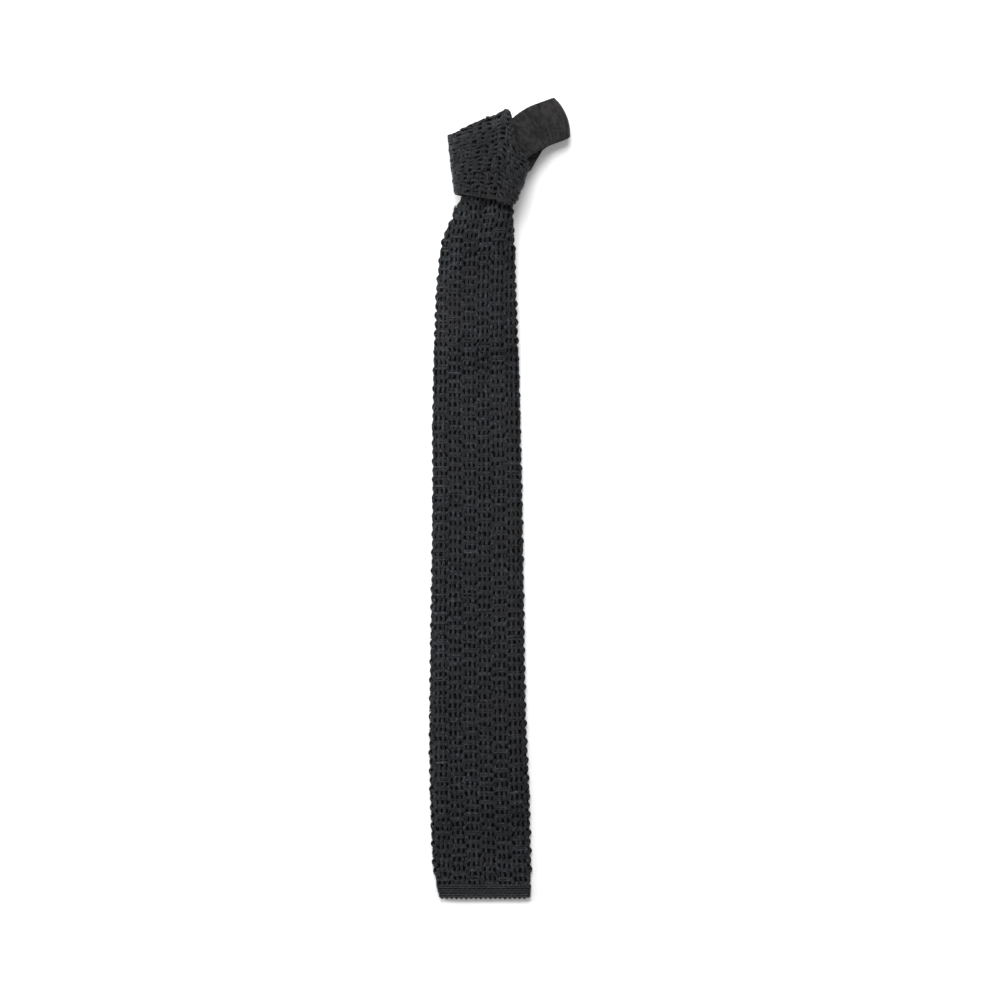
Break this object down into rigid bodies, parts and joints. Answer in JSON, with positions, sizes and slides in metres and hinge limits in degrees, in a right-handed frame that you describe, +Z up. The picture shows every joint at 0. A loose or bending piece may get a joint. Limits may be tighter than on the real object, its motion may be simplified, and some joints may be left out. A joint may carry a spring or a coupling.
{
  "type": "knit tie tied in a four-in-hand knot and laid flat",
  "caption": "Dark open-knit necktie with a square plain-knit hem, tied in a slim knot and laid flat with its neck loop folded behind.",
  "frame": {"origin": "on the table, under the middle of the whole tie's box", "axes": "+Y runs from the square end up to the knot, +X is across the blade to the right as seen from above, +Z is up from the table"},
  "size_m": [0.087, 0.495, 0.0248],
  "materials": {
    "open_knit": "charcoal-black silk yarn in an open figured knit with deep holes and a low sheen",
    "plain_knit": "charcoal-black plain knit with low ridges across it",
    "band_knit": "finer and closer charcoal-black knit with courses across the band"
  },
  "bodies": {
    "root": {"front_blade": "open_knit", "knot_wrap": "open_knit", "tail_blade": "open_knit", "blade_hem": "plain_knit", "tail_hem": "plain_knit", "neck_band": "band_knit"}
  },
  "joints": []
}
